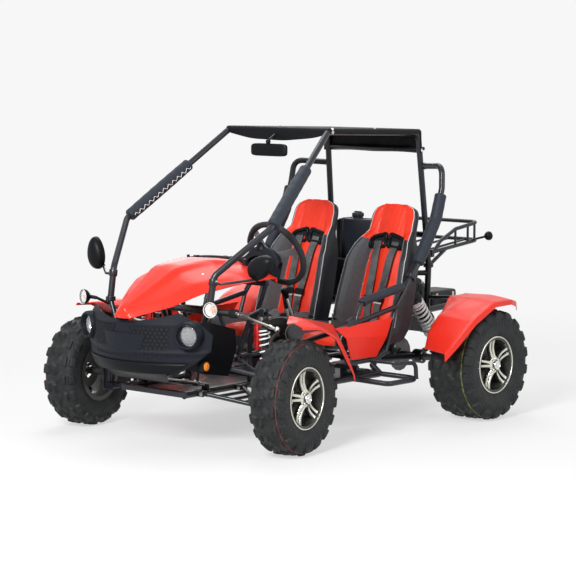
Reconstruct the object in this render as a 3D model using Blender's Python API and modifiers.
"""Two-seat off-road buggy with a roll cage, as separate pieces that move like the real ones.

Metres, +Z up, the front towards -Y and the driver's side towards +X. The front wheels stand
steered a little to the driver's side, and the suspension stands unladen.
"""

import math

import bmesh
import bpy
from mathutils import Matrix, Vector

# Overall stance
WHEELBASE = 1.376
FRONT_AXLE_Y = -0.756
FRONT_TRACK = 1.310
REAR_TRACK = 1.426
STEER_AT_REST = math.radians(8.0)

# Clearances: between pieces that touch, and between pieces that turn in each other
SEAT_GAP = 0.0004
RUNNING_GAP = 0.0010

# Wheels
RIM_SEAT_RADIUS = 0.1270
RIM_LIP_RADIUS = 0.1445
RIM_LIP_THICKNESS = 0.005
RIM_WALL = 0.0065
SPOKE_PAIRS = 5
WHEEL_STEPS = 14
LUG_HEIGHT = 0.011
FRONT_TYRE_RADIUS = 0.2665
FRONT_TYRE_WIDTH = 0.178
FRONT_RIM_WIDTH = 0.144
REAR_TYRE_RADIUS = 0.2795
REAR_TYRE_WIDTH = 0.252
REAR_RIM_WIDTH = 0.212

# Front suspension, one side, measured from the centre plane
ARM_INNER_X = 0.235
ARM_REACH = 0.250
ARM_FALL = 0.052
LOWER_ARM_OUTER_Z = 0.205
UPPER_ARM_OUTER_Z = 0.345
LOWER_ARM_SPREAD = 0.130
UPPER_ARM_SPREAD = 0.090
ARM_TUBE_RADIUS = 0.0105
PIVOT_RADIUS = 0.0140
PIVOT_LENGTH = 0.036
KINGPIN_OFFSET = 0.045
STEERING_ARM = 0.055
TIE_ROD_RADIUS = 0.0070
TIE_OUTER_Z = 0.563
BALL_RADIUS = 0.0135
FRONT_SHOCK_Y = -0.660
FRONT_SHOCK_TOP = (0.405, 0.600)
FRONT_SHOCK_FOOT = (0.425, 0.246)

# Rear suspension
SWING_PIVOT_Y = 0.220
SWING_PIVOT_Z = 0.290
SWING_PIVOT_X = 0.200
AXLE_RADIUS = 0.0175
CARRIER_X = 0.340
CARRIER_RADIUS = 0.036
REAR_SHOCK_X = 0.400
REAR_SHOCK_TOP = (0.462, 0.632)
REAR_SHOCK_FOOT = (0.680, 0.372)
SPROCKET_X = -0.262
DISC_X = 0.215
SPROCKET_TEETH = 16
SPROCKET_RADIUS = 0.082

# Springs: mean radius of the coil, wire radius, curls
FRONT_COIL = (0.0235, 0.0036, 6)
REAR_COIL = (0.0330, 0.0044, 5)

# Tubes
FRAME_TUBE = 0.0160
CAGE_TUBE = 0.0155
PAD_RADIUS = 0.0290
SIDE_X = 0.500

# Cage corners on the driver's side
PILLAR_FOOT = Vector((0.322, -0.940, 0.665))
PILLAR_KNEE = Vector((0.325, -0.915, 0.812))
PILLAR_WAIST = Vector((0.469, -0.679, 1.027))
ROOF_FRONT = Vector((0.322, -0.097, 1.449))
ROOF_REAR = Vector((0.300, 0.650, 1.425))
HOOP_FOOT = Vector((0.318, 0.722, 0.740))
BRACE_FOOT = Vector((SIDE_X, 0.336, 0.722))
BRACE_RUN = Vector((0.0, 0.119, 0.139)).normalized()

# Seats, steering wheel and tank
SEAT_X = 0.2625
SEAT_THICKNESS = 0.018
WHEEL_CENTRE = Vector((SEAT_X, -0.406, 0.877))
COLUMN_RADIUS = 0.0110
WHEEL_RADIUS = 0.172
WHEEL_TILT = math.radians(25.0)
WHEEL_TURN_AT_REST = math.radians(80.0)
TANK_BOTTOM_Z = 0.7165
TANK_Y = 0.642

# Worked out from the sizes above
REAR_AXLE_Y = FRONT_AXLE_Y + WHEELBASE
REAR_AXLE_Z = REAR_TYRE_RADIUS
ARM_OUTER_X = ARM_INNER_X + ARM_REACH
KINGPIN_X = ARM_OUTER_X + KINGPIN_OFFSET
TIE_INNER_X = KINGPIN_X - ARM_REACH
RACK_Z = TIE_OUTER_Z + ARM_FALL
RACK_Y = FRONT_AXLE_Y + STEERING_ARM * math.cos(STEER_AT_REST)
RACK_SHIFT = -STEERING_ARM * math.sin(STEER_AT_REST)
COLUMN = Vector((0.0, math.cos(WHEEL_TILT), math.sin(WHEEL_TILT)))


# Scene, materials and basic shapes


def clear_scene():
    for obj in list(bpy.data.objects):
        bpy.data.objects.remove(obj, do_unlink=True)


clear_scene()
PARTS = bpy.data.collections.new("off_road_buggy")
bpy.context.scene.collection.children.link(PARTS)


def material(name, colour, roughness, metallic):
    made = bpy.data.materials.new(name)
    made.use_nodes = True
    shader = made.node_tree.nodes["Principled BSDF"]
    shader.inputs["Base Color"].default_value = (*colour, 1.0)
    shader.inputs["Roughness"].default_value = roughness
    shader.inputs["Metallic"].default_value = metallic
    made.diffuse_color = (*colour, 1.0)
    return made


RED_PLASTIC = material("red_plastic", (0.87, 0.05, 0.02), 0.28, 0.0)
BLACK_PAINT = material("black_paint", (0.010, 0.011, 0.014), 0.30, 0.2)
BLACK_PLASTIC = material("black_plastic", (0.020, 0.024, 0.032), 0.55, 0.0)
RUBBER = material("rubber", (0.022, 0.022, 0.020), 0.85, 0.0)
ALLOY = material("machined_alloy", (0.66, 0.67, 0.66), 0.25, 1.0)
STEEL = material("bright_steel", (0.62, 0.62, 0.60), 0.30, 1.0)
CAST = material("cast_metal", (0.10, 0.10, 0.11), 0.50, 0.8)
WHITE_SPRING = material("white_spring", (0.82, 0.82, 0.80), 0.35, 0.0)
VINYL = material("seat_vinyl", (0.85, 0.06, 0.03), 0.50, 0.0)
WEBBING = material("webbing", (0.015, 0.015, 0.017), 0.70, 0.0)
CANVAS = material("canvas", (0.012, 0.013, 0.015), 0.90, 0.0)
LENS = material("lens", (0.75, 0.78, 0.80), 0.08, 0.0)


def linked(name, data):
    obj = bpy.data.objects.new(name, data)
    PARTS.objects.link(obj)
    return obj


def from_bmesh(bm, matrix=None):
    if matrix is not None:
        bm.transform(matrix)
    bmesh.ops.recalc_face_normals(bm, faces=bm.faces)
    if bm.calc_volume(signed=True) < 0:
        bmesh.ops.reverse_faces(bm, faces=bm.faces)
    mesh = bpy.data.meshes.new("piece")
    bm.to_mesh(mesh)
    bm.free()
    return linked("piece", mesh)


def baked(obj, matrix=None, flatten=False):
    """The object as a plain mesh in world space, with its seams welded.

    Flattening joins the small coplanar faces that a Boolean leaves.
    """
    bpy.context.view_layer.update()
    graph = bpy.context.evaluated_depsgraph_get()
    mesh = bpy.data.meshes.new_from_object(obj.evaluated_get(graph))
    bm = bmesh.new()
    bm.from_mesh(mesh)
    bm.transform(obj.matrix_world)
    bmesh.ops.remove_doubles(bm, verts=bm.verts, dist=2e-6)
    if flatten:
        bmesh.ops.dissolve_degenerate(bm, dist=0.0001, edges=bm.edges)
        bmesh.ops.dissolve_limit(bm, angle_limit=math.radians(0.2), verts=bm.verts, edges=bm.edges)
        bmesh.ops.triangulate(bm, faces=bm.faces)
    bpy.data.objects.remove(obj, do_unlink=True)
    bpy.data.meshes.remove(mesh)
    return from_bmesh(bm, matrix)


def along(direction):
    """A turn that takes +Z to the direction."""
    return Vector(direction).normalized().to_track_quat("Z", "Y").to_matrix().to_4x4()


def box(size, centre, turn=None, round_off=0.0, segments=1):
    bm = bmesh.new()
    bmesh.ops.create_cube(bm, size=1.0)
    bm.transform(Matrix.Diagonal((*size, 1.0)))
    if round_off:
        bmesh.ops.bevel(
            bm, geom=bm.edges, offset=round_off, segments=segments, affect="EDGES", profile=0.5
        )
    place = Matrix.Translation(centre)
    return from_bmesh(bm, place @ turn if turn is not None else place)


def rod(start, end, radius, sides=12, end_radius=None):
    start, end = Vector(start), Vector(end)
    bm = bmesh.new()
    bmesh.ops.create_cone(
        bm,
        cap_ends=True,
        segments=sides,
        radius1=radius,
        radius2=radius if end_radius is None else end_radius,
        depth=(end - start).length,
    )
    return from_bmesh(bm, Matrix.Translation((start + end) / 2) @ along(end - start))


def ball(centre, radius, stretch=(1, 1, 1), turn=None, rings=8, sides=12):
    bm = bmesh.new()
    bmesh.ops.create_uvsphere(bm, u_segments=sides, v_segments=rings, radius=radius)
    bm.transform(Matrix.Diagonal((*stretch, 1.0)))
    place = Matrix.Translation(centre)
    return from_bmesh(bm, place @ turn if turn is not None else place)


def turned(profile, centre, axis, steps=16, closed=False, phase=0.0):
    """A profile of (radius, height) points turned round an axis through the centre."""
    mesh = bpy.data.meshes.new("profile")
    edges = [(i, i + 1) for i in range(len(profile) - 1)]
    if closed:
        edges.append((len(profile) - 1, 0))
    mesh.from_pydata([(radius, 0.0, height) for radius, height in profile], edges, [])
    obj = linked("profile", mesh)
    screw = obj.modifiers.new("Screw", "SCREW")
    screw.axis = "Z"
    screw.steps = steps
    screw.render_steps = steps
    screw.use_merge_vertices = True
    screw.merge_threshold = 0.00005
    return baked(obj, Matrix.Translation(centre) @ along(axis) @ Matrix.Rotation(phase, 4, "Z"))


def bent(points, bend, steps=3):
    """The centre line of a bent tube: each corner becomes a short curve."""
    points = [Vector(point) for point in points]
    path = [points[0]]
    for before, corner, after in zip(points, points[1:], points[2:]):
        back, ahead = before - corner, after - corner
        half = back.angle(ahead) / 2
        reach = min(bend / math.tan(half), 0.45 * back.length, 0.45 * ahead.length)
        if not steps:
            path.append(corner)
            continue
        start = corner + back.normalized() * reach
        end = corner + ahead.normalized() * reach
        for i in range(steps + 1):
            t = i / steps
            path.append((1 - t) ** 2 * start + 2 * t * (1 - t) * corner + t * t * end)
    path.append(points[-1])
    return path


def wire(path, radius, resolution):
    """A curve with a round bevel and filled caps, made into a mesh for the joins."""
    curve = bpy.data.curves.new("tube", "CURVE")
    curve.dimensions = "3D"
    curve.bevel_depth = radius
    curve.bevel_resolution = resolution
    curve.use_fill_caps = True
    spline = curve.splines.new("POLY")
    spline.points.add(len(path) - 1)
    for point, place in zip(spline.points, path):
        point.co = (*place, 1.0)
    return baked(linked("tube", curve))


def tube(points, radius, bend=0.05, steps=2, resolution=1):
    """A bent tube through its corners."""
    return wire(bent(points, bend, steps), radius, resolution)


def plate(outlines, thickness, matrix):
    """A flat plate from its outline and the outlines of its holes."""
    curve = bpy.data.curves.new("plate", "CURVE")
    curve.dimensions = "2D"
    curve.fill_mode = "BOTH"
    curve.extrude = thickness / 2
    for outline in outlines:
        spline = curve.splines.new("POLY")
        spline.points.add(len(outline) - 1)
        spline.use_cyclic_u = True
        for point, (x, y) in zip(spline.points, outline):
            point.co = (x, y, 0.0, 1.0)
    return baked(linked("plate", curve), matrix)


def sheet(rows, thickness, offset=-1.0):
    """A moulded sheet through rows of points, thickened to one side."""
    bm = bmesh.new()
    grid = [[bm.verts.new(point) for point in row] for row in rows]
    for lower, upper in zip(grid, grid[1:]):
        for a, b, c, d in zip(lower, lower[1:], upper[1:], upper):
            bm.faces.new((a, b, c, d))
    mesh = bpy.data.meshes.new("sheet")
    bm.to_mesh(mesh)
    bm.free()
    obj = linked("sheet", mesh)
    solidify = obj.modifiers.new("Solidify", "SOLIDIFY")
    solidify.thickness = thickness
    solidify.offset = offset
    solidify.use_even_offset = True
    return baked(obj)


def combined(base, others, operation):
    group = bpy.data.collections.new("operands")
    bpy.context.scene.collection.children.link(group)
    for other in others:
        PARTS.objects.unlink(other)
        group.objects.link(other)
    boolean = base.modifiers.new("Boolean", "BOOLEAN")
    boolean.operation = operation
    boolean.operand_type = "COLLECTION"
    boolean.collection = group
    boolean.solver = "EXACT"
    result = baked(base, flatten=True)
    for other in others:
        bpy.data.objects.remove(other, do_unlink=True)
    bpy.data.collections.remove(group)
    return result


def fused(pieces):
    """One solid from overlapping pieces."""
    return combined(pieces[0], pieces[1:], "UNION")


def cut(base, cutters):
    return combined(base, cutters, "DIFFERENCE")


def pivot(name, place, parent=None):
    """An empty on a joint's axis."""
    empty = bpy.data.objects.new(name, None)
    PARTS.objects.link(empty)
    empty.location = place
    if parent is not None:
        bpy.context.view_layer.update()
        empty.parent = parent
        empty.matrix_parent_inverse = parent.matrix_world.inverted()
    return empty


def part(obj, name, look, parent=None):
    """Names a finished piece, gives it its material and hangs it on its joint."""
    obj.name = name
    obj.data.name = name
    own = look.copy()
    own.name = name + "_finish"
    obj.data.materials.clear()
    obj.data.materials.append(own)
    if parent is not None:
        bpy.context.view_layer.update()
        obj.parent = parent
        obj.matrix_parent_inverse = parent.matrix_world.inverted()
    return obj


def mirrored(points, side):
    return [(side * x, y, z) for x, y, z in points]


def both(points, *tube_sizes, **more):
    """The same tube on the driver's side and on the passenger's side."""
    return [tube(mirrored(points, side), *tube_sizes, **more) for side in (1, -1)]


def ring(radius, sides, start=0.0):
    return [
        (radius * math.cos(start + math.tau * i / sides), radius * math.sin(start + math.tau * i / sides))
        for i in range(sides)
    ]


SIDES = ((1, "left"), (-1, "right"))
X_AXIS = Matrix.Rotation(math.pi / 2, 4, "Y")


# Wheels: knobby tyres on five-pair spoke rims


def tyre(centre, side, radius, width, rim_width):
    """A ring of rubber whose tread faces are drawn out into staggered lugs."""
    half, flange = width / 2, rim_width / 2
    crown = radius - LUG_HEIGHT
    wall = crown - RIM_LIP_RADIUS
    outer = [
        (flange - SEAT_GAP, RIM_SEAT_RADIUS),
        (flange - SEAT_GAP, RIM_LIP_RADIUS + 0.002),
        (half, RIM_LIP_RADIUS + 0.45 * wall),
        (half - 0.012, crown - 0.024),
        (0.45 * half, crown - 0.001),
    ]
    profile = outer + [(-x, r) for x, r in reversed(outer)]
    lug_rows = {3: 0, 4: 1, 5: 0}
    bm = bmesh.new()
    rings = []
    for step in range(WHEEL_STEPS):
        angle = math.tau * (step + 0.5) / WHEEL_STEPS
        row = [bm.verts.new((x, r * math.cos(angle), r * math.sin(angle))) for x, r in profile]
        rings.append(row)
    lugs = []
    count = len(profile)
    for step in range(WHEEL_STEPS):
        here, there = rings[step], rings[(step + 1) % WHEEL_STEPS]
        for i in range(count):
            j = (i + 1) % count
            face = bm.faces.new((here[i], here[j], there[j], there[i]))
            if i in lug_rows and step % 2 == lug_rows[i]:
                lugs.append(face)
    bmesh.ops.recalc_face_normals(bm, faces=bm.faces)
    bmesh.ops.inset_individual(bm, faces=lugs, thickness=0.0035, depth=LUG_HEIGHT, use_even_offset=True)
    lowest = -min(vert.co.z for vert in bm.verts)
    for vert in bm.verts:
        if math.hypot(vert.co.y, vert.co.z) > 0.92 * crown:
            vert.co.y *= radius / lowest
            vert.co.z *= radius / lowest
    turn = Matrix.Rotation(0.0 if side > 0 else math.pi, 4, "Z")
    return from_bmesh(bm, Matrix.Translation(centre) @ turn)


def spoke_windows():
    """Outlines of the wide openings between the spoke pairs and the slot inside each pair."""
    holes = []
    for i in range(SPOKE_PAIRS):
        middle = math.tau * i / SPOKE_PAIRS
        wide = [(0.050, -0.22), (0.110, -0.36), (0.110, 0.36), (0.050, 0.22)]
        slot = [(0.062, -0.075), (0.106, -0.085), (0.106, 0.085), (0.062, 0.075)]
        half_turn = math.pi / SPOKE_PAIRS
        holes.append([(r * math.cos(middle + a), r * math.sin(middle + a)) for r, a in wide])
        holes.append(
            [(r * math.cos(middle + half_turn + a), r * math.sin(middle + half_turn + a)) for r, a in slot]
        )
    return holes


def rim(centre, side, rim_width, bore_radius, bore_depth):
    """A barrel with two lips, a spoke plate near the outer lip, a hub and its cap."""
    flange = rim_width / 2
    lip = flange + RIM_LIP_THICKNESS
    seat = RIM_SEAT_RADIUS - SEAT_GAP
    inner = RIM_SEAT_RADIUS - RIM_WALL
    barrel = [
        (RIM_LIP_RADIUS, lip),
        (inner, lip),
        (inner, -lip),
        (RIM_LIP_RADIUS, -lip),
        (seat, -flange),
        (seat, flange),
    ]
    centre = Vector(centre)
    out = Vector((side, 0, 0))
    face = flange - 0.020
    half_step = math.pi / WHEEL_STEPS
    pieces = [turned(barrel, centre, out, WHEEL_STEPS, True, half_step)]
    pieces.append(
        plate(
            [ring(inner + 0.003, WHEEL_STEPS, half_step)] + spoke_windows(),
            0.014,
            Matrix.Translation(centre + face * out) @ along(out),
        )
    )
    hub_back = centre + (face - 0.050) * out
    pieces.append(rod(hub_back, centre + (face + 0.014) * out, 0.038, sides=8))
    pieces.append(rod(centre + face * out, centre + (face + 0.034) * out, 0.024, sides=8, end_radius=0.019))
    whole = fused(pieces)
    if not bore_radius:
        return whole
    bore = rod(hub_back - 0.01 * out, hub_back + bore_depth * out, bore_radius, sides=8)
    return cut(whole, [bore])


# Front wheels on stub axles that steer about upright kingpins


def bored(obj, holes, radius, sides=8):
    """Pivot holes through a piece, each given by its two ends."""
    return cut(obj, [rod(start, end, radius, sides) for start, end in holes])


def through(centre, axis, length):
    """The two ends of a hole or a pin of a given length, centred on a point."""
    half = Vector(axis) * length / 2
    return Vector(centre) - half, Vector(centre) + half


LUG_PLATE = 0.005
OUTER_BUSH_LENGTH = 0.050
KINGPIN_POST_RADIUS = 0.016
KINGPIN_BORE = 0.0095
YOKE_PLATE = 0.010
FORK_HEIGHT = 0.030
SPINDLE_RADIUS = 0.0105
HUB_DEPTH = 0.070
SPINDLE_REACH = 0.046
POST_BOTTOM = LOWER_ARM_OUTER_Z - FORK_HEIGHT / 2
POST_TOP = UPPER_ARM_OUTER_Z + FORK_HEIGHT / 2
Y_AXIS = Vector((0, 1, 0))


def kingpin_bracket(side):
    """An upright post with a fork at each end that holds the outer ends of the arms."""
    post_x = side * KINGPIN_X
    ends = [(post_x, FRONT_AXLE_Y, z) for z in (POST_BOTTOM, POST_TOP)]
    pieces = [rod(*ends, KINGPIN_POST_RADIUS, 10)]
    plate_y = OUTER_BUSH_LENGTH / 2 + SEAT_GAP + LUG_PLATE / 2
    for z in (LOWER_ARM_OUTER_Z, UPPER_ARM_OUTER_Z):
        pieces.append(
            box((0.014, 2 * plate_y + LUG_PLATE, FORK_HEIGHT), (side * (KINGPIN_X - 0.013), FRONT_AXLE_Y, z))
        )
        for fore in (1, -1):
            pieces.append(
                box(
                    (0.052, LUG_PLATE, FORK_HEIGHT),
                    (side * (KINGPIN_X - 0.034), FRONT_AXLE_Y + fore * plate_y, z),
                )
            )
    post_hole = ((post_x, FRONT_AXLE_Y, POST_BOTTOM - 0.01), (post_x, FRONT_AXLE_Y, POST_TOP + 0.01))
    return bored(fused(pieces), [post_hole], KINGPIN_BORE, 10)


def knuckle(side):
    """A yoke round the post, with the stub axle outboard and a tall arm up to the tie rod."""
    post_x = side * KINGPIN_X
    back_x = side * (KINGPIN_X + KINGPIN_POST_RADIUS + RUNNING_GAP + YOKE_PLATE / 2)
    low, high = POST_BOTTOM - SEAT_GAP, POST_TOP + SEAT_GAP
    height = high - low + 2 * YOKE_PLATE
    reach = KINGPIN_POST_RADIUS + RUNNING_GAP + YOKE_PLATE
    ball_z = TIE_OUTER_Z - BALL_RADIUS - RUNNING_GAP
    tip_y = FRONT_AXLE_Y + STEERING_ARM
    pin_ends = [(post_x, FRONT_AXLE_Y, z) for z in (low - 0.004, high + 0.004)]
    pieces = [
        box((YOKE_PLATE, 0.036, height), (back_x, FRONT_AXLE_Y, (low + high) / 2)),
        rod(*pin_ends, KINGPIN_BORE - RUNNING_GAP, 10),
    ]
    for z in (low - YOKE_PLATE / 2, high + YOKE_PLATE / 2):
        pieces.append(box((reach, 0.030, YOKE_PLATE), (post_x + side * reach / 2, FRONT_AXLE_Y, z)))
        pieces.append(rod((post_x, FRONT_AXLE_Y, z - 0.005), (post_x, FRONT_AXLE_Y, z + 0.005), 0.015, 8))
    wheel_x = side * FRONT_TRACK / 2
    hub_back = wheel_x + side * (FRONT_RIM_WIDTH / 2 - HUB_DEPTH)
    for reach_out, radius in ((-SEAT_GAP, 0.017), (SPINDLE_REACH, SPINDLE_RADIUS)):
        end_x = hub_back + side * reach_out
        ends = [(x, FRONT_AXLE_Y, FRONT_TYRE_RADIUS) for x in (back_x, end_x)]
        pieces.append(rod(*ends, radius, 8))
    mast = [
        (post_x, FRONT_AXLE_Y, high + YOKE_PLATE / 2),
        (post_x, FRONT_AXLE_Y, ball_z - 0.030),
        (post_x, tip_y - 0.02, ball_z - 0.012),
        (post_x, tip_y, ball_z - 0.008),
    ]
    pieces.append(tube(mast, 0.0080, 0.02))
    pieces.append(rod((post_x, tip_y, ball_z - 0.016), (post_x, tip_y, ball_z), 0.011, 8))
    return fused(pieces)


kingpins = {}
for side, hand in SIDES:
    place = Vector((side * KINGPIN_X, FRONT_AXLE_Y, LOWER_ARM_OUTER_Z))
    kingpins[side] = pivot("kingpin_axis_" + hand, place)
    hub = (side * FRONT_TRACK / 2, FRONT_AXLE_Y, FRONT_TYRE_RADIUS)
    front_tyre = tyre(hub, side, FRONT_TYRE_RADIUS, FRONT_TYRE_WIDTH, FRONT_RIM_WIDTH)
    front_rim = rim(hub, side, FRONT_RIM_WIDTH, SPINDLE_RADIUS + RUNNING_GAP, SPINDLE_REACH + 0.004)
    part(front_tyre, "front_tyre_" + hand, RUBBER, kingpins[side])
    part(front_rim, "front_rim_" + hand, ALLOY, kingpins[side])
    part(knuckle(side), "knuckle_" + hand, CAST, kingpins[side])
    part(kingpin_bracket(side), "kingpin_bracket_" + hand, BLACK_PAINT)
    kingpins[side].rotation_euler.z = STEER_AT_REST


# Front suspension arms, tie rods and rack


def on_arm(side, share, spread, inner_z, leg):
    """A point on an arm's front or rear leg: share 0 at the frame, 1 at the kingpin."""
    x = side * (ARM_INNER_X + share * ARM_REACH)
    return Vector((x, FRONT_AXLE_Y + leg * spread * (1 - share), inner_z - share * ARM_FALL))


def arm(side, outer_z, spread, rungs):
    """A wishbone: two legs from the frame pivots to the outer bush, with cross tubes."""
    inner_z = outer_z + ARM_FALL
    outer = Vector((side * ARM_OUTER_X, FRONT_AXLE_Y, outer_z))
    pieces = [rod(*through(outer, Y_AXIS, OUTER_BUSH_LENGTH), PIVOT_RADIUS, 8)]
    for leg in (1, -1):
        inner = on_arm(side, 0.0, spread, inner_z, leg)
        pieces.append(rod(*through(inner, Y_AXIS, PIVOT_LENGTH), PIVOT_RADIUS, 8))
        pieces.append(rod(inner, on_arm(side, 1.0, spread, inner_z, leg), ARM_TUBE_RADIUS, 6))
    for share in rungs:
        ends = [on_arm(side, share, spread, inner_z, leg) for leg in (1, -1)]
        pieces.append(rod(*ends, 0.008, 6))
    return pieces


SHOCK_LUG_SPREAD = 0.0155
SHOCK_EYE_WIDTH = 2 * (SHOCK_LUG_SPREAD - LUG_PLATE / 2 - SEAT_GAP)


def lugs(centre, axis, size, shift):
    """Two lug plates square to the axis, with a shock eye's width between them."""
    axis = Vector(axis)
    centre = Vector(centre)
    pieces = []
    for end in (1, -1):
        plate_size = [LUG_PLATE if abs(a) > 0.5 else s for a, s in zip(axis, size)]
        pieces.append(
            box(plate_size, centre + end * SHOCK_LUG_SPREAD * axis + Vector(shift))
        )
    return pieces


def lower_arm(side):
    pieces = arm(side, LOWER_ARM_OUTER_Z, LOWER_ARM_SPREAD, (0.22, 0.45))
    x, z = FRONT_SHOCK_FOOT
    share = (x - ARM_INNER_X) / ARM_REACH
    carrier = on_arm(side, share, 0.0, LOWER_ARM_OUTER_Z + ARM_FALL, 1)
    start = carrier + Vector((0, -0.034, 0))
    pieces.append(rod(start, (carrier.x, FRONT_SHOCK_Y + 0.018, carrier.z), 0.010, 6))
    foot = Vector((side * x, FRONT_SHOCK_Y, z))
    pieces += lugs(foot, (0, 1, 0), (0.024, LUG_PLATE, 0.044), (0, 0, -0.009))
    return fused(pieces)


def upper_arm(side):
    return fused(arm(side, UPPER_ARM_OUTER_Z, UPPER_ARM_SPREAD, (0.35,)))


TIE_PIN_RADIUS = 0.0100
TIE_PIN_LENGTH = 0.016


def tie_rod(side):
    """A slim rod with a round pin across its inner end and a ball over the steering arm."""
    inner = Vector((side * TIE_INNER_X + RACK_SHIFT, RACK_Y, RACK_Z))
    outer = Vector((side * KINGPIN_X + RACK_SHIFT, RACK_Y, TIE_OUTER_Z))
    run = (outer - inner).normalized()
    pieces = [rod(inner, outer, TIE_ROD_RADIUS, 8)]
    pieces.append(rod(inner + 0.018 * run, inner + 0.05 * run, 0.0095, 6))
    pieces.append(ball(outer, BALL_RADIUS, rings=4, sides=8))
    pieces.append(rod(*through(inner, Y_AXIS, TIE_PIN_LENGTH), TIE_PIN_RADIUS, 24))
    return fused(pieces)


RACK_ROD_RADIUS = 0.0090
SOCKET_LENGTH = 0.022
SOCKET_LIP = 0.002
SOCKET_RADIUS = 0.0155
SOCKET_PLAY = 0.0004


def steering_rack():
    """The sliding bar with a socket at each end for the tie rods' inner pins."""
    pieces = []
    ends = [Vector((side * TIE_INNER_X + RACK_SHIFT, RACK_Y, RACK_Z)) for side in (1, -1)]
    pieces.append(rod(ends[0], ends[1], RACK_ROD_RADIUS, 8))
    hollows = []
    for side, end in zip((1, -1), ends):
        out = Vector((side, 0, 0))
        pieces.append(rod(end - SOCKET_LENGTH * out, end + SOCKET_LIP * out, SOCKET_RADIUS, 8))
        hollow = through(end, Y_AXIS, TIE_PIN_LENGTH + 2 * SOCKET_PLAY)
        hollows.append(rod(*hollow, TIE_PIN_RADIUS + SOCKET_PLAY, 24))
    return cut(fused(pieces), hollows)


part(steering_rack(), "steering_rack", STEEL)
for side, hand in SIDES:
    arm_x = side * ARM_INNER_X
    inner_at = (arm_x, FRONT_AXLE_Y, LOWER_ARM_OUTER_Z + ARM_FALL)
    upper_at = (arm_x, FRONT_AXLE_Y, UPPER_ARM_OUTER_Z + ARM_FALL)
    inner_axis = pivot("lower_arm_axis_" + hand, inner_at)
    upper_axis = pivot("upper_arm_axis_" + hand, upper_at)
    tie_axis = pivot("tie_rod_axis_" + hand, (side * TIE_INNER_X + RACK_SHIFT, RACK_Y, RACK_Z))
    part(lower_arm(side), "front_lower_arm_" + hand, BLACK_PAINT, inner_axis)
    part(upper_arm(side), "front_upper_arm_" + hand, BLACK_PAINT, upper_axis)
    part(tie_rod(side), "tie_rod_" + hand, STEEL, tie_axis)


# Shock absorbers and their springs


def least_coil_gap(pitch, mean_radius, wire_radius, samples=240):
    """The least gap between one curl and the next, measured on points along the helix."""
    points = [
        Vector((mean_radius * math.cos(a), mean_radius * math.sin(a), pitch * a / math.tau))
        for a in (math.tau * 2.2 * i / samples for i in range(samples + 1))
    ]
    nearest = min((p - points[0]).length for p in points[samples // 4 :])
    return nearest - 2 * wire_radius


def spring(top, foot, start, end, coil):
    """One unbroken wire: a helix between the two seats, with a straight end at each."""
    mean_radius, wire_radius, curls = coil
    lift = wire_radius + SEAT_GAP
    length = end - start - 2 * lift
    per_curl = 8
    count = curls * per_curl
    points = [(mean_radius, -2 * wire_radius, lift)]
    for i in range(count + 1):
        angle = math.tau * i / per_curl
        across = (mean_radius * math.cos(angle), mean_radius * math.sin(angle))
        points.append((*across, lift + length * i / count))
    points.append((mean_radius, 2 * wire_radius, lift + length))
    gap = least_coil_gap(length / curls, mean_radius, wire_radius)
    print("least gap between spring curls, mm:", round(gap * 1000, 2))
    down = (Vector(foot) - Vector(top)).normalized()
    frame = Matrix.Translation(Vector(top) + start * down) @ along(down)
    return wire([frame @ Vector(p) for p in points], wire_radius, 1)


SHOCK_ROD_PLAY = 0.0040


def shock(top, foot, axis, coil, start, end, body_length, rod_radius, neck):
    """The body with its top eye and spring seat, and the rod with its foot eye and seat."""
    top, foot = Vector(top), Vector(foot)
    down = (foot - top).normalized()
    length = (foot - top).length
    mean_radius, wire_radius, _ = coil
    body_radius = mean_radius - wire_radius - 0.0040
    seat_radius = mean_radius + wire_radius + 0.002
    body = fused(
        [
            rod(*through(top, axis, SHOCK_EYE_WIDTH), 0.0145, 8),
            rod(top + (start - 0.010) * down, top + start * down, seat_radius, 10, seat_radius * 0.97),
            rod(top + 0.004 * down, top + (neck + 0.006) * down, 0.0115, 6),
            rod(top + neck * down, top + body_length * down, body_radius, 8),
        ]
    )
    bore = rod(top + 0.062 * down, top + (body_length + 0.01) * down, rod_radius + SHOCK_ROD_PLAY, 8)
    body = cut(body, [bore])
    low = fused(
        [
            rod(*through(foot, axis, SHOCK_EYE_WIDTH), 0.0145, 8),
            rod(top + 0.112 * down, foot, rod_radius, 8),
            rod(top + end * down, top + (end + 0.009) * down, seat_radius, 10),
            rod(top + (end + 0.004) * down, foot, 0.0115, 8),
        ]
    )
    return body, low


for side, hand in SIDES:
    top = Vector((side * FRONT_SHOCK_TOP[0], FRONT_SHOCK_Y, FRONT_SHOCK_TOP[1]))
    foot = Vector((side * FRONT_SHOCK_FOOT[0], FRONT_SHOCK_Y, FRONT_SHOCK_FOOT[1]))
    body, low = shock(top, foot, Y_AXIS, FRONT_COIL, 0.050, 0.243, 0.200, 0.0060, 0.018)
    top_axis, foot_axis = pivot("front_shock_top_" + hand, top), pivot("front_shock_foot_" + hand, foot)
    part(body, "front_shock_body_" + hand, CAST, top_axis)
    part(low, "front_shock_rod_" + hand, STEEL, foot_axis)
    part(spring(top, foot, 0.050, 0.243, FRONT_COIL), "front_spring_" + hand, WHITE_SPRING, top_axis)

for side, hand in SIDES:
    top = Vector((side * REAR_SHOCK_X, *REAR_SHOCK_TOP))
    foot = Vector((side * REAR_SHOCK_X, *REAR_SHOCK_FOOT))
    length = (foot - top).length
    body, low = shock(top, foot, Vector((1, 0, 0)), REAR_COIL, 0.062, length - 0.078, 0.205, 0.0070, 0.038)
    top_axis, foot_axis = pivot("rear_shock_top_" + hand, top), pivot("rear_shock_foot_" + hand, foot)
    part(body, "rear_shock_body_" + hand, CAST, top_axis)
    part(low, "rear_shock_rod_" + hand, STEEL, foot_axis)
    part(
        spring(top, foot, 0.062, length - 0.078, REAR_COIL), "rear_spring_" + hand, WHITE_SPRING, top_axis
    )


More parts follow.
